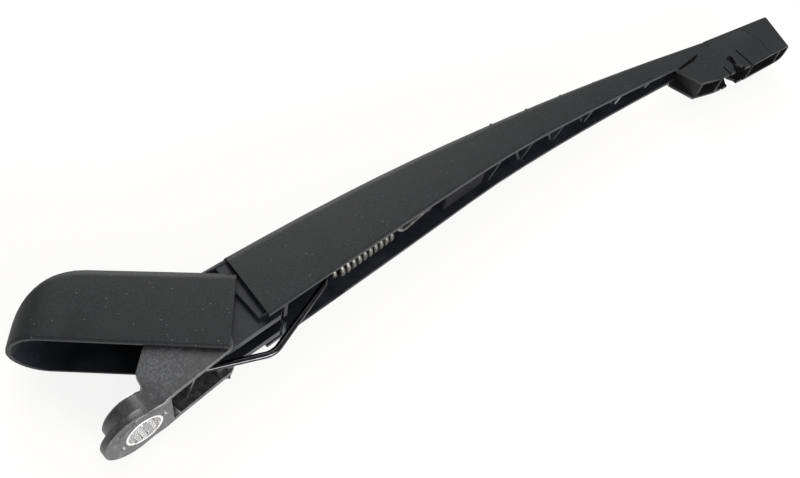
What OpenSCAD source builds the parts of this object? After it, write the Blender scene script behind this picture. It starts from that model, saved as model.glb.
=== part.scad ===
// Rear window wiper arm, unmounted, with its nut cap flipped open.
// Frame: origin on the spindle axis at the head's glass side face, +X runs
// to the tip, +Z points away from the glass, Y runs across the arm.

/* [Head] */
// Radius of the round boss at the spindle
boss_r = 10.4; // [9:0.1:10.6]
// Height of the boss
boss_h = 9; // [6:0.1:14]
// Radius of the spindle bore
bore_r = 6.1; // [5:0.1:6.2]
// Outer radius of the metal bush
bush_r = 6.9; // [6.6:0.1:7.4]
// Thickness of a head side wall
head_wall = 2.1; // [1.5:0.1:3]

/* [Hinge] */
// Distance of the hinge pin from the spindle
hinge_x = 41.6; // [36:0.1:50]
// Depth of the hinge pin below the arm's roof
hinge_depth = 7.6; // [7.2:0.1:8.2]
// Radius of the hinge pin
pin_r = 2.5; // [1.5:0.1:3]
// Radius of the eyes round the hinge pin
eye_r = 5; // [4:0.1:5.2]

/* [Arm] */
// Width of the arm at the hinge end
arm_w = 25.4; // [22:0.1:30]
// Height of the arm's flank at the hinge end
arm_h = 29.2; // [27:0.1:31]
// Distance from the hinge pin to where the flank begins
flank_start = 12.4; // [11.4:0.1:18]
// Distance from the spindle to where the blade box begins
box_x = 316; // [270:1:360]
// Flank thickness along the spring's hidden end
flank_thin = 1.5; // [1.2:0.1:2]
// Flank thickness along the rest of the arm
flank_thick = 2.3; // [1.8:0.1:2.6]
// Slope of the roof at the hinge end
roof_slope = 0.045; // [0.02:0.005:0.07]
// Bend of the roof towards the glass
roof_bend = 0.00035; // [0.0002:0.00001:0.00045]
// Height of the rim above the head's face
rim_z = 3.6; // [3.4:0.1:5]

/* [Blade box] */
// Width of the blade box
box_w = 11; // [9:0.1:13]
// Length of the blade box's roof
box_len = 48.2; // [44:0.1:60]
// Slope of the box against the head's face
box_tilt = 12.5; // [8:0.5:16]
// Radius of the seat for the blade's cross pin
seat_r = 2; // [1.6:0.1:2.5]

/* [Nut cap] */
// Length of the cap
cap_len = 73.2; // [70:0.1:80]
// Wall thickness of the cap
cap_wall = 1.7; // [1.3:0.1:2]
// Angle by which the cap stands open
cap_open = 41.6; // [0:0.1:42]

/* [Spring and link] */
// Wire diameter of the link
link_d = 2.6; // [2:0.1:3]
// Wire diameter of the spring
wire_d = 2.2; // [1.6:0.1:2.6]
// Outside diameter of the coil
coil_d = 12; // [9:0.1:13]
// Number of turns in the coil
coil_turns = 11; // [9:1:12]
// Radius of the link's open hook at the spring
link_hook_r = 5; // [4:0.1:5.5]
// Distance from the spindle to the link's bar in the head
link_x = 26; // [24:0.1:28]
// Height of the link's bar above the head's face
link_z = 10; // [8:0.1:11]
// Distance from the spindle to the spring's bar in the arm
anchor_x = 143; // [138:0.1:150]
// Height of the spring's bar above the head's face
anchor_z = 12.4; // [12:0.1:14]

/* [Clearances] */
// Play between the pin and the eyes that turn on it
run_fit = 0.06; // [0.03:0.01:0.09]
// Play between the pin and the head that holds it
held_fit = 0.02; // [0.01:0.01:0.04]
// Side gap between parts that pass each other
side_gap = 0.5; // [0.3:0.05:0.6]
// Play between a hook and the bar inside it
hook_fit = 0.15; // [0.1:0.05:0.3]

/* [Hidden] */
$fn = 64;
eps = 0.01;
black = [0.13, 0.13, 0.135];
head_grey = [0.3, 0.31, 0.32];
steel = [0.72, 0.72, 0.7];
bright = [0.85, 0.85, 0.86];
dark_wire = [0.35, 0.35, 0.37];
arm_x = hinge_x + flank_start;
arm_half = arm_w / 2;
head_half = arm_half - 2.7;
roof_z = rim_z + arm_h;
hinge_z = roof_z - hinge_depth;
corner_r = 3.6;
lug_end = arm_x + 6.6;
box_nose = box_w / 2 - 1;
crown = 1;
flank_draft = 0.5;
edge_cut = 0.8;
flank_step_x = arm_x + 36;
lug_in = 4.4;
lug_out = head_half - head_wall - side_gap;
bar_r = 1.8;
link_r = link_d / 2;
wire_r = wire_d / 2;
head_hook_r = bar_r + hook_fit + link_r;
arm_hook_r = bar_r + hook_fit + wire_r;
eye_r_spring = wire_r + hook_fit + link_r + 0.05;
coil_r = coil_d / 2 - wire_r;
pull_x = anchor_x - link_x;
pull_z = anchor_z - link_z;
pull_len = sqrt(pull_x * pull_x + pull_z * pull_z);
pull_up = atan2(pull_z, pull_x);
link_len = 52.7;
eye_x = link_len + link_hook_r + 0.05;
cap_back = 10.6;
notch_x = 11.2;
cap_half = arm_half;
cap_rim = rim_z - hinge_z;
cap_end = cap_back - cap_len;
cap_height = arm_h;
cap_slope = 0.04;
cap_nose = 19;
cap_depths = [for (s = [1, 0.82, 0.67, 0.54, 0.43, 0.34, 0.26, 0.195, 0.139, 0.094, 0.056, 0.03, 0.011])
    s * (cap_height - 2.5)];
pin_half = cap_half - 1.3;
flank_rest = box_x - flank_step_x - 1;
stations = concat(
    [arm_x, arm_x + 6, arm_x + 18, flank_step_x - 1],
    [for (i = [0:13]) flank_step_x + 1 + flank_rest * i / 13]
);
web_pitch = (box_x - anchor_x - 53) / 12;

// Shape of the arm along its length: roof, rim and half width.
function roof_at(x) = roof_z - roof_slope * (x - arm_x) - roof_bend * pow(x - arm_x, 2);
function rim_at(x) = rim_z - 0.0078 * pow(max(0, x - arm_x - 111), 1.5);
function half_at(x) = let(d = x - arm_x - 71)
    max(box_w / 2, arm_half - 0.02 * (sqrt(d * d + 900) + d));
function flank_at(x) = x < flank_step_x ? flank_thin : flank_thick;

// Half of a crowned channel's outline, from the rim up to the crown.
function half_outline(w, z0, z1, r, rise, cut, lean) =
    let(edge = w - lean - r, y5 = edge + r * cos(80), z5 = z1 - r + r * sin(80))
    concat(
        [[w - cut, z0], [w, z0 + edge_cut], [w - lean, z1 - r]],
        [for (a = [16:16:80]) [edge + r * cos(a), z1 - r + r * sin(a)]],
        [[y5 * 0.55, z5 + rise * 0.7], [0, z5 + rise]]
    );
function mirrored(h) = concat(
    [for (i = [0:len(h) - 2]) [-h[i][0], h[i][1]]],
    [for (i = [len(h) - 1:-1:0]) h[i]]
);
function outer_half(w, z0, z1) =
    half_outline(w, z0, z1, min(corner_r, w * 0.36), crown, edge_cut, flank_draft);
function inner_half(w, z0, z1, t) =
    half_outline(w - t, z0, z1 - t, max(0.5, min(corner_r, w * 0.36) - t), crown, 0, flank_draft);

// A closed ring of points for one station of the hollow arm.
function ring(x) =
    let(w = half_at(x), z0 = rim_at(x), z1 = roof_at(x), t = flank_at(x),
        o = mirrored(outer_half(w, z0, z1)), n = mirrored(inner_half(w, z0, z1, t)),
        back = x == arm_x ? 1 : 0, lean = x == arm_x ? 0.085 : 0)
    concat(
        [for (p = o) [x - back + lean * (p[1] - rim_z), p[0], p[1]]],
        [for (i = [len(n) - 1:-1:0]) [x - back + lean * (n[i][1] - rim_z), n[i][0], n[i][1]]]
    );

module loft(rings, half_count) {
    m = len(rings[0]);
    last = len(rings) - 1;
    points = [for (r = rings, p = r) p];
    sides = [for (i = [0:last - 1], j = [0:m - 1])
        each [[i * m + j, (i + 1) * m + (j + 1) % m, (i + 1) * m + j],
              [i * m + j, i * m + (j + 1) % m, (i + 1) * m + (j + 1) % m]]];
    first_cap = [for (j = [0:half_count - 2]) each [[j, m - 2 - j, j + 1], [j, m - 1 - j, m - 2 - j]]];
    end_cap = [for (f = first_cap) [last * m + f[2], last * m + f[1], last * m + f[0]]];
    polyhedron(points, concat(sides, first_cap, end_cap), convexity = 6);
}

// A solid body over a row of outlines, each closed along its foot.
module solid_loft(rings) {
    m = len(rings[0]);
    last = len(rings) - 1;
    points = [for (r = rings, p = r) p];
    sides = [for (i = [0:last - 1], j = [0:m - 1])
        each [[i * m + j, (i + 1) * m + (j + 1) % m, (i + 1) * m + j],
              [i * m + j, i * m + (j + 1) % m, (i + 1) * m + (j + 1) % m]]];
    first_cap = [for (j = [1:m - 2]) [0, j + 1, j]];
    end_cap = [for (j = [1:m - 2]) [last * m, last * m + j, last * m + j + 1]];
    polyhedron(points, concat(sides, first_cap, end_cap), convexity = 6);
}

// A round wire swept along a list of points.
function unit(v) = v / norm(v);
function tangents(p) = [for (i = [0:len(p) - 1]) unit(p[min(i + 1, len(p) - 1)] - p[max(i - 1, 0)])];
function normals(t) = [for (i = 0, n = unit(cross(t[0], [0.1, 1, 0.2])); i < len(t);
    i = i + 1, n = i < len(t) ? unit(n - (n * t[i]) * t[i]) : n) n];

module wire(path, r, sides) {
    t = tangents(path);
    n = normals(t);
    last = len(path) - 1;
    points = [for (i = [0:last], k = [0:sides - 1])
        path[i] + r * cos(360 * k / sides) * n[i] + r * sin(360 * k / sides) * cross(t[i], n[i])];
    skin = [for (i = [0:last - 1], k = [0:sides - 1])
        each [[i * sides + k, (i + 1) * sides + (k + 1) % sides, (i + 1) * sides + k],
              [i * sides + k, i * sides + (k + 1) % sides, (i + 1) * sides + (k + 1) % sides]]];
    start_cap = [for (k = [1:sides - 2]) [0, k + 1, k]];
    end_cap = [for (k = [1:sides - 2]) [last * sides, last * sides + k, last * sides + k + 1]];
    polyhedron(points, concat(skin, start_cap, end_cap), convexity = 8);
}

// A flat outline in the X and Z plane, given thickness across the arm.
module side_plate(y0, y1) {
    translate([0, y1, 0]) rotate([90, 0, 0]) linear_extrude(height = y1 - y0) children();
}

module both_sides() {
    children();
    mirror([0, 1, 0]) children();
}

module cross_bar(x, z, r, half) {
    translate([x, half, z]) rotate([90, 0, 0]) cylinder(r = r, h = 2 * half);
}

module box_frame() {
    translate([box_x, 0, roof_at(box_x) + 0.5]) rotate([0, box_tilt, 0]) children();
}

// Zigzag bracing inside the arm, one slanted web at a time.
module web(x0, y0, x1, y1, t) {
    low = rim_at(x0) + 3.2;
    translate([x0, y0, low]) rotate([0, 0, atan2(y1 - y0, x1 - x0)]) translate([-0.3, -t / 2, 0])
        cube([norm([x1 - x0, y1 - y0]) + 0.6, t, roof_at(x1) - 0.9 - low]);
}

module arm_webs() {
    for (i = [0:5]) {
        x = anchor_x + 31 + 2 * web_pitch * i;
        a = half_at(x) - 1.2;
        b = half_at(x + web_pitch) - 1.2;
        c = half_at(x + 2 * web_pitch) - 1.2;
        web(x, a, x + web_pitch, -b, 1.2);
        web(x + web_pitch, -b, x + 2 * web_pitch, c, 1.2);
    }
}

module arm_lugs() {
    both_sides() side_plate(lug_in, lug_out) difference() {
        polygon([[hinge_x - 6.6, rim_z - 0.4], [lug_end - 2.6, rim_z - 0.4], [lug_end, rim_z + 1.9],
                 [lug_end, roof_z - 0.5], [hinge_x - 1.6, roof_z - 0.5], [hinge_x - 4.3, hinge_z + 2.4],
                 [hinge_x - 4.9, hinge_z], [hinge_x - 4.9, hinge_z - 7.2], [hinge_x - 6.6, hinge_z - 10.2]]);
        translate([hinge_x, hinge_z]) circle(r = pin_r + run_fit);
    }
}

module arm_bulkhead() {
    top = roof_z - 1.4;
    wall = lug_end - 0.6;
    difference() {
        union() {
            translate([wall, 1 - arm_half, rim_z + 0.2]) cube([1.5, arm_w - 2, arm_h - 4.4]);
            translate([wall, 4.5 - arm_half, rim_z + 0.2]) cube([1.5, arm_w - 9, top - rim_z]);
        }
        translate([wall - 1, -link_d, rim_z - 4]) cube([4, 2 * link_d, roof_z - rim_z - 4.3]);
    }
    both_sides() translate([wall - 9.4, arm_half - 4.4, rim_z + 2.4]) cube([9.8, 1.5, top - rim_z - 2.4]);
    both_sides() translate([wall - 3.5, arm_half - 4.4, rim_z + 2.4]) cube([1.4, 3.7, top - rim_z - 3.9]);
}

module visor() {
    half = head_half + 0.1;
    start = hinge_x - 3;
    translate([start, 0, roof_at(start)]) rotate([0, atan(roof_slope), 0])
        rotate([90, 0, 90]) linear_extrude(height = arm_x + 3.6 - start)
            polygon([[-half, -1.9], [half, -1.9], [half, -0.65], [half - 1.2, -0.2], [half / 2, 0.5],
                     [0, 0.75], [-half / 2, 0.5], [1.2 - half, -0.2], [-half, -0.65]]);
}

module spring_anchor() {
    cross_bar(anchor_x, anchor_z, bar_r, half_at(anchor_x) - 1);
    translate([anchor_x + 5, 1.2 - half_at(anchor_x + 7), anchor_z - 4.8])
        cube([1.8, 2 * half_at(anchor_x + 7) - 2.4, 14]);
    translate([anchor_x + 5, 1 - half_at(anchor_x + 28), anchor_z - 4.8])
        cube([23, 2 * half_at(anchor_x + 28) - 2, 1.6]);
}

// The box's outline seen from above, round at its end.
module nose_plan(half) {
    translate([-90, -half]) square([90 - box_nose, 2 * half]);
    translate([-box_nose - 1, box_nose - half]) square([box_nose + 1, 2 * (half - box_nose)]);
    for (s = [-1, 1]) translate([-box_nose, s * (half - box_nose)]) circle(r = box_nose);
}

module box_shell() {
    wall = 1.6;
    half = box_w / 2;
    box_frame() difference() {
        intersection() {
            side_plate(-half, half) polygon([
                [-27.1, -11.7], [-21.5, -23], [-8.6, -24.1], [0, -23.9], [14.3, -23.3], [44.1, -20.1],
                [box_len, 0], [0, 0], [0, -5], [-27, -8.6]
            ]);
            translate([box_len, 0, 1]) rotate([0, 11.5, 0]) translate([0, 0, -50])
                linear_extrude(height = 54) nose_plan(half);
        }
        both_sides() side_plate(half - 0.2, half + 1) polygon([
            [25.6, -2.2], [29.2, -11.2], [28.1, -21.9], [27.8, -21.9], [28.9, -11.2], [25.3, -2.2]
        ]);
        for (run = [[-19.6, -9], [-7.4, 13], [14.6, 35.2], [36.6, 42.3]])
            translate([run[0], wall - half, -30]) cube([run[1] - run[0], box_w - 2 * wall, 28.2]);
        translate([-30, wall - half, -30]) cube([8.8, box_w - 2 * wall, 28]);
        blade_slots(half + 1);
    }
}

// The seat of the blade's cross pin, its way in, and the slits of the snap tongues.
module blade_slots(reach) {
    translate([0, reach, 0]) rotate([90, 0, 0]) translate([3.9, -15.5, 0])
        cylinder(r = seat_r, h = 2 * reach);
    side_plate(-reach, reach) polygon([
        [2.3, -15.8], [5.5, -15.8], [5.2, -19.4], [7.6, -22.2], [7.6, -26], [0.6, -26], [0.6, -22.6],
        [2.6, -19.4]
    ]);
    side_plate(-reach, reach) polygon([[10.9, -12.5], [11.9, -12.2], [13, -26], [11.9, -26]]);
    side_plate(-reach, reach) polygon([[-3.7, -18.7], [-2.7, -18.7], [-2.3, -26], [-3.4, -26]]);
}

// The sunk crease where the arm's rim runs out on the box's side.
module rim_crease() {
    deep = box_w / 2 - 0.6;
    box_frame() both_sides() side_plate(deep, arm_half)
        polygon([[-9.1, -6.8], [-14.6, -9.9], [-24.8, -11.9], [-26, -11.8], [-26.3, -10.9]]);
}

module arm_body() {
    color(black) difference() {
        union() {
            loft([for (x = stations) ring(x)], 19);
            box_shell();
            arm_lugs();
            arm_bulkhead();
            visor();
            spring_anchor();
            arm_webs();
        }
        rim_crease();
    }
}

// The cap's form, with the pin at zero: its roof, the way its nose falls and
// its outline at one station, each inset by a wall t.
function cap_roof(x) = roof_z - hinge_z + 1.3 + cap_slope * x;
function cap_fall(d) = 0.03 + 0.11 * (cap_height - d - 2.5)
    + (d < cap_nose ? cap_nose - sqrt(pow(cap_nose, 2) - pow(cap_nose - d, 2)) : 0);
function cap_width(i, r) = i < r ? sqrt(2 * r * i - i * i) : r;
function cap_ring(x, w, z0, z1, t) =
    let(share = w / (cap_half - t), cut = t > 0 ? 0 : edge_cut * share, r = min(4.4 - t, w * 0.36))
    [for (p = mirrored(half_outline(w, z0, z1, r, crown * share, cut, flank_draft * share)))
        [x, p[0], p[1]]];
function cap_rings(t, foot, back) = concat(
    [for (d = cap_depths) let(i = cap_fall(d), x = cap_end + t + i)
        cap_ring(x, cap_width(i, cap_half - t), foot, cap_roof(x) - d - t, t)],
    [for (x = [cap_end + t + 22, cap_end + t + 34, cap_end + t + 48, back])
        cap_ring(x, cap_half - t, foot, cap_roof(x) - t, t)]
);

module nut_cap() {
    notch = head_half + 0.4;
    color(black) translate([hinge_x, 0, hinge_z]) rotate([0, cap_open, 0]) difference() {
        solid_loft(cap_rings(0, cap_rim, cap_back));
        solid_loft(cap_rings(cap_wall, cap_rim - 1, cap_back + 1));
        translate([-notch_x, -notch, -4]) cube([30, 2 * notch, 20]);
        side_plate(-20, 20) polygon([[0, 14], [0, cap_roof(0) + 0.2], [5, cap_roof(5) - 0.5],
                                     [cap_back + 1, cap_roof(cap_back) - 2.1], [cap_back + 1, 14]]);
        cross_bar(0, 0, pin_r + run_fit, pin_half + 0.2);
    }
}

module head_side() {
    side_plate(head_half - head_wall, head_half) difference() {
        union() {
            polygon([[-2, 0.3], [8, 0.3], [14, 0.9], [hinge_x - 5.6, rim_z - 1.2], [hinge_x - 3.6, rim_z],
                     [hinge_x - 2.7, rim_z + 2.4], [hinge_x - 2.4, hinge_z - 13.2],
                     [hinge_x + eye_r * 0.86, hinge_z - eye_r * 0.52],
                     [hinge_x - eye_r * 0.99, hinge_z - eye_r * 0.12], [hinge_x - 7.6, hinge_z - 5],
                     [14, hinge_z - 4.6], [6.8, 14], [5.8, boss_h - 1], [-2, boss_h - 1]]);
            translate([hinge_x, hinge_z]) circle(r = eye_r);
        }
        translate([hinge_x, hinge_z]) circle(r = pin_r + held_fit);
    }
}

module mounting_head() {
    inner = head_half - head_wall;
    color(head_grey) difference() {
        union() {
            cylinder(r1 = boss_r - 0.8, r2 = boss_r, h = 0.8);
            translate([0, 0, 0.8]) cylinder(r = boss_r, h = boss_h - 1.6);
            translate([0, 0, boss_h - 0.8]) cylinder(r1 = boss_r, r2 = boss_r - 0.8, h = 0.8);
            translate([-3, 0, 0.4]) cylinder(r = 11.4, h = 2.6);
            both_sides() head_side();
            side_plate(-inner - eps, inner + eps) polygon([
                [0, 0.3], [11, 0.3], [12, 12], [14.5, hinge_z - 7.6], [hinge_x - 10.6, hinge_z - 7.4],
                [hinge_x - 10.6, hinge_z - 5], [14, hinge_z - 4.6], [6.8, 14], [5.8, boss_h - 1],
                [0, boss_h - 1]
            ]);
            cross_bar(link_x, link_z, bar_r, inner + eps);
            both_sides() translate([hinge_x - 10, lug_in + 0.4, rim_z + 0.6]) cube([3.3, inner - lug_in, 6]);
        }
        translate([0, 0, -1]) cylinder(r = bush_r, h = boss_h + 2);
        translate([0, 0, boss_h]) cylinder(r = bush_r + 1.6, h = 20);
        for (a = [-16, 164]) rotate([0, 0, a]) translate([bush_r + 1.45, 0, -1]) cylinder(r = 1.1, h = 1.7);
    }
}

module spindle_bush() {
    color(bright) difference() {
        union() {
            cylinder(r = bush_r, h = boss_h + 0.5);
            translate([0, 0, boss_h]) cylinder(r = bush_r + 1.3, h = 0.8);
        }
        translate([0, 0, -1]) cylinder(r = bore_r, h = boss_h + 4);
        for (a = [0:20:340]) rotate([0, 0, a]) translate([bore_r - 0.2, -0.15, 0.8]) cube([0.55, 0.3, 3.2]);
    }
}

module hinge_pin() {
    color(steel) {
        cross_bar(hinge_x, hinge_z, pin_r, pin_half);
    }
}

// Points in the plane of the pull line, which runs from the head's bar to the arm's bar.
function along_pull(p) = [link_x + p[0] * cos(pull_up) - p[2] * sin(pull_up), p[1],
    link_z + p[0] * sin(pull_up) + p[2] * cos(pull_up)];
function arc_xz(c, r, a0, a1, n) = [for (i = [0:n]) let(a = a0 + (a1 - a0) * i / n)
    [c[0] + r * cos(a), 0, c[1] + r * sin(a)]];

module link_wire() {
    q = along_pull([link_len, 0, 0]);
    bend = [link_x + 23.9, link_z - 5.4];
    path = concat(
        arc_xz([link_x, link_z], head_hook_r, 20, 246, 18),
        arc_xz(bend, 8.2, 246, 288, 8),
        arc_xz([q[0], q[2]], link_hook_r, -72, 130, 16)
    );
    color(dark_wire) wire(path, link_r, 12);
}

module tension_spring() {
    start = eye_x + 3.4;
    finish = pull_len - 24.8;
    turn = 16;
    steps = coil_turns * turn - 1;
    path = concat(
        [for (a = [60:21:270]) along_pull([eye_x + eye_r_spring * cos(a), eye_r_spring * sin(a), 0])],
        [along_pull([eye_x + 1.3, -2.65, -0.25]), along_pull([eye_x + 2.5, -2.2, -1.3])],
        [for (i = [0:steps]) let(a = -112.5 + 360 * i / turn, r = 3.2 + (coil_r - 3.2) * min(1, i / 8))
            along_pull([start + (finish - start) * i / steps, r * cos(a), r * sin(a)])],
        [for (p = [[1.1, -2.3, -4.7], [2.6, -1.1, -5.1], [4.4, -0.4, -5.1], [6.4, -0.1, -4.9]])
            along_pull([finish + p[0], p[1], p[2]])],
        [for (i = [0:14]) let(a = -90 + 20 * i)
            along_pull([pull_len + arm_hook_r * cos(a), 0, arm_hook_r * sin(a)])]
    );
    color(steel) wire(path, wire_r, 8);
}

arm_body();
nut_cap();
mounting_head();
spindle_bush();
hinge_pin();
link_wire();
tension_spring();
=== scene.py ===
# Rear wiper arm, lying on its far side on a white table, nut cap flipped open.
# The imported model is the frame: X runs along the arm, Z away from the window.
import math

import bpy
from mathutils import Matrix, Vector
from mathutils.bvhtree import BVHTree


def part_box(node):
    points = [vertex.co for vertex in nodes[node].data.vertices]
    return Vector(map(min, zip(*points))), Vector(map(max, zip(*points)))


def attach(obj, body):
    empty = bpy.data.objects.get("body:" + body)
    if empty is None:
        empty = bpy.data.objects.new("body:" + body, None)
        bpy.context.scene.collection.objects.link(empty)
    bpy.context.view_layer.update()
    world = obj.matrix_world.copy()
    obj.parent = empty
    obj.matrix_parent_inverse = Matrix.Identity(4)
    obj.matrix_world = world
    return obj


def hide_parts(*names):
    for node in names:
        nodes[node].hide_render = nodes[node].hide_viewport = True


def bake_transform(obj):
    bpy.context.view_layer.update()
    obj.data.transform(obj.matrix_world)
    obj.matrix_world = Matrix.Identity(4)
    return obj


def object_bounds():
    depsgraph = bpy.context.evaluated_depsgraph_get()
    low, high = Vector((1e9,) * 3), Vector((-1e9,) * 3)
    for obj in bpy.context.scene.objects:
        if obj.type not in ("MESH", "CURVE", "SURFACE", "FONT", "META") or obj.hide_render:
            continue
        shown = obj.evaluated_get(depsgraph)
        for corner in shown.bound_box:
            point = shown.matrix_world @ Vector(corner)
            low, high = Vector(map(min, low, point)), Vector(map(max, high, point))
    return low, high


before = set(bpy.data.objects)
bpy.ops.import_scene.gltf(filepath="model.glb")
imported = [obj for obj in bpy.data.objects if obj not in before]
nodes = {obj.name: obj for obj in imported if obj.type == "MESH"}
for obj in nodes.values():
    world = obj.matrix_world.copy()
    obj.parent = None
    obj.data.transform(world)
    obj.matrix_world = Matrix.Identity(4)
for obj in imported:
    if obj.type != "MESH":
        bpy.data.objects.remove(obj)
cad_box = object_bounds()
scene = bpy.context.scene
scene.view_settings.view_transform = "Standard"

# Camera
# One view from the near side of the arm and a little from the window's side.
# Its place comes from the photograph's own lines, in the model's frame.
eye = Vector((-0.0431117, -0.2753287, -0.1073249))
right = Vector((0.722509, -0.149262, -0.675057))
down = Vector((-0.500821, 0.560128, -0.659875))
ahead = Vector((0.476612, 0.814848, 0.329944))
focal_pixels = 867.866
picture_width = 800
camera_data = bpy.data.cameras.new("camera")
camera_data.sensor_width = 36
camera_data.lens = focal_pixels / picture_width * camera_data.sensor_width
camera_data.clip_start = 0.01
camera_data.clip_end = 20
camera = bpy.data.objects.new("camera", camera_data)
scene.collection.objects.link(camera)
turn = Matrix((right, -down, -ahead)).transposed().to_4x4()
camera.matrix_world = Matrix.Translation(eye) @ turn
scene.camera = camera

# Table
# A plain white sheet under the arm, which lies on its far flank. The sheet
# shows only from above, so that it never hides the arm in other views.
table_gap = 0.0004
table_y = cad_box[1].y + table_gap
table_colour = (0.95, 0.9, 0.84, 1)
glow_share = 0.84
bpy.ops.object.select_all(action="DESELECT")
bpy.ops.mesh.primitive_plane_add(
    size=6, location=(0.15, table_y, 0), rotation=(math.radians(90), 0, 0)
)
table = bpy.context.active_object
table.name = "table"
bpy.ops.object.transform_apply(location=True, rotation=True, scale=True)
table.visible_shadow = False
sheet = bpy.data.materials.new("table_sheet")
sheet.use_nodes = True
tree = sheet.node_tree
tree.nodes.clear()
out = tree.nodes.new("ShaderNodeOutputMaterial")
paper = tree.nodes.new("ShaderNodeBsdfDiffuse")
paper.inputs["Color"].default_value = table_colour
glow = tree.nodes.new("ShaderNodeEmission")
glow.inputs["Color"].default_value = (1, 1, 1, 1)
path = tree.nodes.new("ShaderNodeLightPath")
seen = tree.nodes.new("ShaderNodeMath")
seen.operation = "MAXIMUM"
seen_more = tree.nodes.new("ShaderNodeMath")
seen_more.operation = "MAXIMUM"
share = tree.nodes.new("ShaderNodeMath")
share.operation = "MULTIPLY"
share.inputs[1].default_value = glow_share
lit = tree.nodes.new("ShaderNodeMixShader")
side = tree.nodes.new("ShaderNodeNewGeometry")
clear = tree.nodes.new("ShaderNodeBsdfTransparent")
both = tree.nodes.new("ShaderNodeMixShader")
tree.links.new(path.outputs["Is Camera Ray"], seen.inputs[0])
tree.links.new(path.outputs["Is Glossy Ray"], seen.inputs[1])
tree.links.new(seen.outputs[0], seen_more.inputs[0])
tree.links.new(path.outputs["Is Transmission Ray"], seen_more.inputs[1])
tree.links.new(seen_more.outputs[0], share.inputs[0])
tree.links.new(share.outputs[0], lit.inputs[0])
tree.links.new(paper.outputs[0], lit.inputs[1])
tree.links.new(glow.outputs[0], lit.inputs[2])
tree.links.new(side.outputs["Backfacing"], both.inputs[0])
tree.links.new(lit.outputs[0], both.inputs[1])
tree.links.new(clear.outputs[0], both.inputs[2])
tree.links.new(both.outputs[0], out.inputs["Surface"])
table.data.materials.append(sheet)

# Studio light
# A pale room, a large soft box low on the window's side, which lights the
# faces towards the glass, one above and one behind along the roof's edge.
room_colour = (0.96, 0.98, 1, 1)
room_strength = 0.45
room = bpy.data.worlds.new("pale_room")
scene.world = room
room.use_nodes = True
tree = room.node_tree
tree.nodes.clear()
out = tree.nodes.new("ShaderNodeOutputWorld")
dim = tree.nodes.new("ShaderNodeBackground")
dim.inputs["Color"].default_value = room_colour
dim.inputs["Strength"].default_value = room_strength
white = tree.nodes.new("ShaderNodeBackground")
white.inputs["Color"].default_value = (1, 1, 1, 1)
white.inputs["Strength"].default_value = 1
path = tree.nodes.new("ShaderNodeLightPath")
pick = tree.nodes.new("ShaderNodeMixShader")
tree.links.new(path.outputs["Is Camera Ray"], pick.inputs[0])
tree.links.new(dim.outputs[0], pick.inputs[1])
tree.links.new(white.outputs[0], pick.inputs[2])
tree.links.new(pick.outputs[0], out.inputs["Surface"])


def soft_box(name, place, aim, size, power):
    data = bpy.data.lights.new(name, "AREA")
    data.shape = "SQUARE"
    data.size = size
    data.energy = power
    lamp = bpy.data.objects.new(name, data)
    lamp.location = place
    lamp.rotation_mode = "QUATERNION"
    lamp.rotation_quaternion = (Vector(aim) - Vector(place)).to_track_quat("-Z", "Y")
    scene.collection.objects.link(lamp)


soft_box("box_low", (0.0, -0.12, -0.96), (0.12, 0, 0), 0.7, 30)
soft_box("box_above", (0.6, -1.0, 0.2), (0.2, 0, 0), 0.8, 2.6)
soft_box("box_behind", (0.55, -0.45, 0.85), (0.12, 0, 0.02), 0.8, 11)


# Arm
# A channel of glass-filled black plastic, moulded in one with its lugs, webs
# and blade box. Outside it has a fine spark grain, inside it is smooth.
def plain_material(name, colour, roughness, metallic=0.0, specular=0.5):
    m = bpy.data.materials.new(name)
    m.use_nodes = True
    shader = m.node_tree.nodes["Principled BSDF"]
    shader.inputs["Base Color"].default_value = (*colour, 1)
    shader.inputs["Roughness"].default_value = roughness
    shader.inputs["Metallic"].default_value = metallic
    shader.inputs["Specular IOR Level"].default_value = specular
    return m


def add_node(m, kind, **values):
    n = m.node_tree.nodes.new(kind)
    for key, value in values.items():
        n.inputs[key.replace("_", " ")].default_value = value
    return n


def join(m, source, target):
    m.node_tree.links.new(source, target)


def feed(m, name, source):
    join(m, source, m.node_tree.nodes["Principled BSDF"].inputs[name])


def greys(*stops):
    return [(place, (value, value, value)) for place, value in stops]


def ramp(m, source, stops):
    n = m.node_tree.nodes.new("ShaderNodeValToRGB")
    while len(n.color_ramp.elements) < len(stops):
        n.color_ramp.elements.new(0.5)
    for element, (place, colour) in zip(n.color_ramp.elements, stops):
        element.position = place
        element.color = (*colour, 1)
    join(m, source, n.inputs["Fac"])
    return n.outputs["Color"]


def noise(m, place, size_mm, detail=3.0, roughness=0.6):
    n = add_node(
        m, "ShaderNodeTexNoise", Scale=1000 / size_mm, Detail=detail, Roughness=roughness
    )
    join(m, place, n.inputs["Vector"])
    return n.outputs["Fac"]


def blend_colour(m, share, first, second, kind="MIX"):
    n = m.node_tree.nodes.new("ShaderNodeMix")
    n.data_type = "RGBA"
    n.blend_type = kind
    # A colour mix has its factor at 0, its two colours at 6 and 7, its result at 2.
    for value, socket in ((share, n.inputs[0]), (first, n.inputs[6]), (second, n.inputs[7])):
        if isinstance(value, (float, int)):
            socket.default_value = value
        elif isinstance(value, tuple):
            socket.default_value = (*value, 1)
        else:
            join(m, value, socket)
    return n.outputs[2]


def compute(m, kind, first, second):
    n = m.node_tree.nodes.new("ShaderNodeMath")
    n.operation = kind
    n.use_clamp = True
    for value, socket in ((first, n.inputs[0]), (second, n.inputs[1])):
        if isinstance(value, (float, int)):
            socket.default_value = value
        else:
            join(m, value, socket)
    return n.outputs[0]


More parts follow.
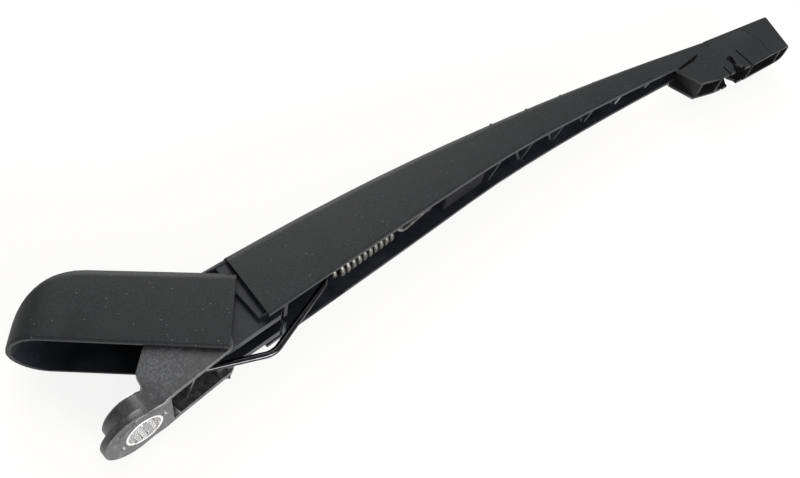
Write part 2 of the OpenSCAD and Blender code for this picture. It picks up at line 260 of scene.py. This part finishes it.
def bump(m, height, depth_mm, strength, edge_mm=0.2):
    # The bevel shader lets edges catch the light and leaves the mesh as it is.
    n = m.node_tree.nodes.new("ShaderNodeBump")
    worn = m.node_tree.nodes.new("ShaderNodeBevel")
    worn.samples = 6
    worn.inputs["Radius"].default_value = edge_mm / 1000
    join(m, worn.outputs["Normal"], n.inputs["Normal"])
    n.inputs["Strength"].default_value = strength
    n.inputs["Distance"].default_value = depth_mm / 1000
    join(m, height, n.inputs["Height"])
    feed(m, "Normal", n.outputs["Normal"])


merge_gap = 0.000005
sliver = 0.000002


def moulded_copy(node, name, edge_mm, turn_limit=32):
    # A merged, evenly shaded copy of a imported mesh, kept inside the node's box.
    piece = bpy.data.objects.new(name, nodes[node].data.copy())
    scene.collection.objects.link(piece)
    bpy.ops.object.select_all(action="DESELECT")
    piece.select_set(True)
    bpy.context.view_layer.objects.active = piece
    piece.data.materials.clear()
    bpy.ops.object.mode_set(mode="EDIT")
    bpy.ops.mesh.select_all(action="SELECT")
    bpy.ops.mesh.remove_doubles(threshold=merge_gap)
    bpy.ops.object.mode_set(mode="OBJECT")
    if edge_mm:
        rounding = piece.modifiers.new("edge_rounding", "BEVEL")
        rounding.width = edge_mm / 1000
        rounding.segments = 2
        rounding.limit_method = "ANGLE"
        rounding.angle_limit = math.radians(turn_limit)
        rounding.use_clamp_overlap = False
        rounding.miter_outer = "MITER_ARC"
        bpy.ops.object.modifier_apply(modifier=rounding.name)
    low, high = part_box(node)
    for point in piece.data.vertices:
        for axis in range(3):
            point.co[axis] = min(max(point.co[axis], low[axis]), high[axis])
    bpy.ops.object.mode_set(mode="EDIT")
    bpy.ops.mesh.select_all(action="SELECT")
    bpy.ops.mesh.quads_convert_to_tris()
    bpy.ops.mesh.dissolve_degenerate(threshold=sliver)
    bpy.ops.object.mode_set(mode="OBJECT")
    bpy.ops.object.shade_smooth_by_angle(angle=math.radians(turn_limit))
    weigh = piece.modifiers.new("even_shading", "WEIGHTED_NORMAL")
    weigh.keep_sharp = True
    bpy.ops.object.modifier_apply(modifier=weigh.name)
    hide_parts(node)
    return piece


step_off_face = 0.00002


def face_inside(piece, reach_mm):
    # A face that looks at another wall within reach gets the second material.
    mesh = piece.data
    corners = [v.co for v in mesh.vertices]
    wall = BVHTree.FromPolygons(corners, [p.vertices[:] for p in mesh.polygons])
    for face in mesh.polygons:
        start = face.center + face.normal * step_off_face
        hit = wall.ray_cast(start, face.normal, reach_mm / 1000)
        face.material_index = 0 if hit[0] is None else 1


# Grained black plastic, with a few pale specks of dust and fibre in it.
grained = plain_material("grained_black", (0.02, 0.02, 0.021), 0.52, 0, 0.2)
place = add_node(grained, "ShaderNodeTexCoord").outputs["Object"]
fine = noise(grained, place, 0.45, 3)
cloud = noise(grained, place, 14, 2)
tone = ramp(grained, fine, [
    (0.3, (0.0075, 0.008, 0.0085)),
    (0.5, (0.0135, 0.0142, 0.015)),
    (0.72, (0.026, 0.0268, 0.028)),
])
wide = ramp(grained, cloud, greys((0.35, 0.86), (0.65, 1.0)))
tone = blend_colour(grained, 1.0, tone, wide, "MULTIPLY")
cells_per_metre, speck_reach, cells_without = 620, 0.12, 0.76
specks = add_node(grained, "ShaderNodeTexVoronoi", Scale=cells_per_metre)
join(grained, place, specks.inputs["Vector"])
near = compute(grained, "LESS_THAN", specks.outputs["Distance"], speck_reach)
parts = grained.node_tree.nodes.new("ShaderNodeSeparateColor")
join(grained, specks.outputs["Color"], parts.inputs[0])
rare = compute(grained, "GREATER_THAN", parts.outputs[0], cells_without)
speck = compute(grained, "MULTIPLY", near, rare)
speck_tints = [(0.4, (0.1, 0.1, 0.096)), (0.7, (0.045, 0.085, 0.12))]
shine = ramp(grained, parts.outputs[1], speck_tints)
feed(grained, "Base Color", blend_colour(grained, speck, tone, shine))
feed(grained, "Roughness", ramp(grained, cloud, greys((0.3, 0.48), (0.7, 0.56))))
bump(grained, fine, 0.06, 0.5)

# The same plastic where the mould was polished.
smooth = plain_material("smooth_black", (0.011, 0.0115, 0.014), 0.34, 0, 0.28)
place = add_node(smooth, "ShaderNodeTexCoord").outputs["Object"]
flow = noise(smooth, place, 7, 4)
smooth_tones = [(0.35, (0.008, 0.0085, 0.0105)), (0.7, (0.017, 0.018, 0.022))]
feed(smooth, "Base Color", ramp(smooth, flow, smooth_tones))
feed(smooth, "Roughness", ramp(smooth, flow, greys((0.3, 0.3), (0.7, 0.37))))
bump(smooth, noise(smooth, place, 2.5, 3), 0.02, 0.3)

# The same plastic, darker, as painted shade deep in the box, in the creases and on the
# anchor plate's face towards the glass, and as the dark mould line.
painted_shade_and_mould_line = plain_material("shaded_black", (0.004, 0.004, 0.005), 0.8, 0, 0.1)
place = add_node(painted_shade_and_mould_line, "ShaderNodeTexCoord").outputs["Object"]
painted_shade_and_mould_line_tones = [(0.3, (0.003, 0.003, 0.004)), (0.7, (0.007, 0.007, 0.008))]
feed(painted_shade_and_mould_line, "Base Color", ramp(painted_shade_and_mould_line, noise(painted_shade_and_mould_line, place, 5, 3), painted_shade_and_mould_line_tones))

arm = moulded_copy("arm_body", "arm_moulding", 0)
arm.data.materials.append(grained)
arm.data.materials.append(smooth)
arm.data.materials.append(painted_shade_and_mould_line)
channel_reach = 30
face_inside(arm, channel_reach)
lug_end, lug_half_width = 53.5, 10.5
plate_start, plate_end, plate_low, plate_high = 147.5, 172.5, 7.0, 9.6
faces_glass = -0.7
box_inside_start, box_inside_top = 288.5, -4.5
crease_start, crease_end, crease_near, crease_far = 288, 308, 4.85, 4.95
mould_line_start, mould_line_near, mould_line_far = 332, 5.25, 5.35
for face in arm.data.polygons:
    x, y, z = (1000 * value for value in face.center)
    # Partly painted shade: the lugs take the smooth plastic all over, whose darker tone
    # stands in for the shade between the cap's cheeks.
    if x < lug_end and abs(y) < lug_half_width:
        face.material_index = 1
    on_plate = plate_start < x < plate_end and plate_low < z < plate_high
    in_box = x > box_inside_start and z < box_inside_top and face.material_index == 1
    in_crease = crease_start < x < crease_end and crease_near < abs(y) < crease_far
    in_mould_line = x > mould_line_start and mould_line_near < abs(y) < mould_line_far
    # Painted shade: the anchor plate's face towards the glass, the inside of the box and the
    # crease take the dark material; the mould line takes it too.
    if (on_plate and face.normal.z < faces_glass) or in_box or in_crease or in_mould_line:
        face.material_index = 2

# The box's upper front corners are drawn in, so that its roof starts flush.
box_x, box_half_width, box_roof, close_by = 316, 5.5, -2.515, 0.02
corner_in, corner_down = 0.0008, 0.0010
for point in arm.data.vertices:
    x, y, z = (1000 * value for value in point.co)
    at_start = abs(x - box_x) < close_by and abs(z - box_roof) < close_by
    if at_start and abs(abs(y) - box_half_width) < close_by:
        point.co.y -= math.copysign(corner_in, y)
        point.co.z -= corner_down
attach(arm, "arm")

# Nut cap
# A hollow cap of the same plastic, grained outside and smooth inside. It
# flips down over the spindle nut and turns on the arm's hinge pin.
cap = moulded_copy("nut_cap", "cap_moulding", 0)
cap.data.materials.append(grained)
cap.data.materials.append(smooth)
cap_reach = 75
face_inside(cap, cap_reach)
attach(cap, "cap")

# Mounting head
# Nylon with long glass fibres, moulded in one with the link's bar: satin
# grey-black, mottled by the fibres and paler in one broken patch on the near side.
filled = plain_material("filled_nylon", (0.04, 0.04, 0.042), 0.45, 0, 0.7)
place = add_node(filled, "ShaderNodeTexCoord").outputs["Object"]
mottle = noise(filled, place, 2.2, 6, 0.72)
fibre = noise(filled, place, 0.5, 2)
tone = ramp(filled, mottle, [
    (0.36, (0.011, 0.011, 0.0115)),
    (0.52, (0.026, 0.026, 0.0275)),
    (0.7, (0.078, 0.078, 0.082)),
])
fibre_tones = ramp(filled, fibre, greys((0.3, 0.35), (0.7, 1)))
tone = blend_colour(filled, 0.7, tone, fibre_tones, "MULTIPLY")
pale_centre, pale_full, pale_gone = (0.0155, -0.010, 0.0115), 0.0045, 0.0105
pale_colour, mark_colour = (0.07, 0.072, 0.077), (0.008, 0.008, 0.009)
where = filled.node_tree.nodes.new("ShaderNodeVectorMath")
where.operation = "DISTANCE"
where.inputs[1].default_value = pale_centre
join(filled, place, where.inputs[0])
pale = ramp(filled, where.outputs["Value"], greys((pale_full, 1), (pale_gone, 0)))
broken = ramp(filled, noise(filled, place, 1.1, 5, 0.8), greys((0.46, 0), (0.6, 1)))
pale = blend_colour(filled, 1.0, pale, broken, "MULTIPLY")
tone = blend_colour(filled, pale, tone, pale_colour)
axes = filled.node_tree.nodes.new("ShaderNodeSeparateXYZ")
join(filled, place, axes.inputs[0])
mark_half_width = 0.0002
mark_lines = ((0.0200, 0.0088, 0.0026), (0.0106, 0.0047, 0.0021))
for line_x, line_z, half_length in mark_lines:
    mask = compute(filled, "GREATER_THAN", axes.outputs[0], line_x - mark_half_width)
    for kind, axis, limit in (
        ("LESS_THAN", 0, line_x + mark_half_width),
        ("GREATER_THAN", 2, line_z - half_length),
        ("LESS_THAN", 2, line_z + half_length),
    ):
        within = compute(filled, kind, axes.outputs[axis], limit)
        mask = compute(filled, "MULTIPLY", mask, within)
    tone = blend_colour(filled, mask, tone, mark_colour)
feed(filled, "Base Color", tone)
feed(filled, "Roughness", ramp(filled, mottle, greys((0.35, 0.36), (0.7, 0.5))))
bump(filled, mottle, 0.05, 0.5)
head = moulded_copy("mounting_head", "head_moulding", 0)
head.data.materials.append(filled)
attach(head, "head")

# Spindle bush
# A turned steel bush moulded into the head, bright, with fine splines and a
# few brown-grey marks where the spindle has rubbed.
bright = plain_material("bright_steel", (0.92, 0.92, 0.92), 0.3, 1)
place = add_node(bright, "ShaderNodeTexCoord").outputs["Object"]
stain = noise(bright, place, 3.5, 3)
feed(bright, "Base Color", ramp(bright, stain, [
    (0.34, (0.45, 0.4, 0.34)),
    (0.42, (0.9, 0.89, 0.88)),
    (0.48, (0.98, 0.98, 0.98)),
]))
feed(bright, "Roughness", ramp(bright, stain, greys((0.36, 0.5), (0.5, 0.36))))
bush = moulded_copy("spindle_bush", "bush_turning", 0)
bush.data.materials.append(bright)
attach(bush, "head")

# Hinge pin
# A drawn steel pin pressed through the head, satin, with broken end edges.
satin = plain_material("satin_steel", (0.6, 0.6, 0.6), 0.35, 1)
place = add_node(satin, "ShaderNodeTexCoord").outputs["Object"]
drawn = add_node(satin, "ShaderNodeMapping")
drawn.inputs["Scale"].default_value = (1, 0.05, 1)
join(satin, place, drawn.inputs["Vector"])
streak = noise(satin, drawn.outputs["Vector"], 0.6, 3)
feed(satin, "Base Color", ramp(satin, streak, greys((0.3, 0.5), (0.7, 0.68))))
feed(satin, "Roughness", ramp(satin, streak, greys((0.3, 0.28), (0.7, 0.42))))
pin = moulded_copy("hinge_pin", "pin_turning", 0.35)
pin.data.materials.append(satin)
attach(pin, "head")


# Link
# Hardened wire, oiled and nearly black, bent to a hook round the head's bar
# at one end and a hook that holds the spring's eye at the other.
head_bar_x, head_bar_z = 26, 10
arm_bar_ahead, arm_bar_above = 117, 2.4
pull_tilt = math.atan2(arm_bar_above, arm_bar_ahead)


def along_pull(forward, across, up):
    # A point in millimetres, measured from the head's bar along the line of pull.
    return Vector((
        head_bar_x + forward * math.cos(pull_tilt) - up * math.sin(pull_tilt),
        across,
        head_bar_z + forward * math.sin(pull_tilt) + up * math.cos(pull_tilt),
    ))


def arc(centre, radius, first, last, steps):
    points = []
    for i in range(steps + 1):
        a = math.radians(first + (last - first) * i / steps)
        x = centre[0] + radius * math.cos(a)
        points.append(Vector((x, 0, centre[1] + radius * math.sin(a))))
    return points


def fine_path(points, steps):
    # A centripetal curve through the points, which doesn't swing out at bends.
    ends = [2 * points[0] - points[1]] + list(points) + [2 * points[-1] - points[-2]]
    fine_points = []
    for i in range(len(points) - 1):
        a, b, c, d = ends[i:i + 4]
        tb = (b - a).length ** 0.5
        tc = tb + (c - b).length ** 0.5
        td = tc + (d - c).length ** 0.5
        for k in range(steps):
            t = tb + (tc - tb) * k / steps
            ab = a.lerp(b, t / tb)
            bc = b.lerp(c, (t - tb) / (tc - tb))
            cd = c.lerp(d, (t - tc) / (td - tc))
            abc = ab.lerp(bc, t / tc)
            bcd = bc.lerp(cd, (t - tb) / (td - tb))
            fine_points.append(abc.lerp(bcd, (t - tb) / (tc - tb)))
    return fine_points + [points[-1]]


def bent_wire(name, points, radius_mm, round_steps):
    line = bpy.data.curves.new(name, "CURVE")
    line.dimensions = "3D"
    run = line.splines.new("POLY")
    run.points.add(len(points) - 1)
    for target, p in zip(run.points, points):
        target.co = (p.x / 1000, p.y / 1000, p.z / 1000, 1)
    line.bevel_depth = radius_mm / 1000
    line.bevel_resolution = round_steps
    line.use_fill_caps = True
    piece = bpy.data.objects.new(name, line)
    scene.collection.objects.link(piece)
    bpy.ops.object.select_all(action="DESELECT")
    piece.select_set(True)
    bpy.context.view_layer.objects.active = piece
    bpy.ops.object.convert(target="MESH")
    bpy.ops.object.mode_set(mode="EDIT")
    bpy.ops.mesh.select_all(action="SELECT")
    bpy.ops.mesh.remove_doubles(threshold=0.000003)
    bpy.ops.mesh.normals_make_consistent(inside=False)
    bpy.ops.object.mode_set(mode="OBJECT")
    bpy.ops.object.shade_smooth_by_angle(angle=math.radians(40))
    return bpy.context.active_object


oiled = plain_material("oiled_wire", (0.08, 0.08, 0.085), 0.1, 1)
place = add_node(oiled, "ShaderNodeTexCoord").outputs["Object"]
film = noise(oiled, place, 2.2, 4)
oiled_tones = [(0.35, (0.028, 0.028, 0.03)), (0.7, (0.055, 0.055, 0.058))]
feed(oiled, "Base Color", ramp(oiled, film, oiled_tones))
feed(oiled, "Roughness", ramp(oiled, film, greys((0.35, 0.07), (0.7, 0.16))))
link_radius = 1.3
bar_hook_radius = 3.25
bend_centre, bend_radius = (49.9, 4.6), 8.2
spring_hook_centre, spring_hook_radius = along_pull(52.7, 0, 0), 5
link_points = (
    arc((head_bar_x, head_bar_z), bar_hook_radius, 20, 246, 48)
    + arc(bend_centre, bend_radius, 246, 288, 20)
    + arc((spring_hook_centre.x, spring_hook_centre.z), spring_hook_radius, -72, 130, 48)
)
link = bent_wire("link_bend", link_points, link_radius, 5)
link.data.materials.append(oiled)
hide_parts("link_wire")
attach(link, "link")

# Tension spring
# Dark satin spring wire: an eye in the link's hook, eleven turns and a bent
# leg to the hook round the arm's bar.
coiled = plain_material("spring_wire", (0.42, 0.41, 0.39), 0.3, 1)
place = add_node(coiled, "ShaderNodeTexCoord").outputs["Object"]
film = noise(coiled, place, 1.6, 4)
coiled_tones = [(0.35, (0.07, 0.067, 0.063)), (0.7, (0.14, 0.136, 0.13))]
feed(coiled, "Base Color", ramp(coiled, film, coiled_tones))
feed(coiled, "Roughness", ramp(coiled, film, greys((0.35, 0.36), (0.7, 0.5))))
spring_radius = 1.1
pull_length = math.hypot(arm_bar_ahead, arm_bar_above)
eye_x = 57.75
eye_radius = 2.6
coil_start = eye_x + 3.4
coil_end = pull_length - 24.8
coil_radius, first_radius, widen_steps = 4.9, 3.2, 8
coil_turns, turn_steps = 11, 16
coil_steps = coil_turns * turn_steps - 1
spring_points = []
for degrees in range(60, 271, 21):
    a = math.radians(degrees)
    x, y = eye_x + eye_radius * math.cos(a), eye_radius * math.sin(a)
    spring_points.append(along_pull(x, y, 0))
for x, y, z in ((1.3, -2.65, -0.25), (2.5, -2.2, -1.3)):
    spring_points.append(along_pull(eye_x + x, y, z))
for i in range(coil_steps + 1):
    a = math.radians(-112.5 + 360 * i / turn_steps)
    r = first_radius + (coil_radius - first_radius) * min(1, i / widen_steps)
    x = coil_start + (coil_end - coil_start) * i / coil_steps
    spring_points.append(along_pull(x, r * math.cos(a), r * math.sin(a)))
for x, y, z in ((1.1, -2.3, -4.7), (2.6, -1.1, -5.1), (4.4, -0.4, -5.1), (6.4, -0.1, -4.9)):
    spring_points.append(along_pull(coil_end + x, y, z))
end_hook_radius = 3.05
for i in range(15):
    a = math.radians(-90 + 20 * i)
    x, z = pull_length + end_hook_radius * math.cos(a), end_hook_radius * math.sin(a)
    spring_points.append(along_pull(x, 0, z))
spring = bent_wire("spring_coil", fine_path(spring_points, 3), spring_radius, 3)
spring.data.materials.append(coiled)
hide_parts("tension_spring")
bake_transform(spring)
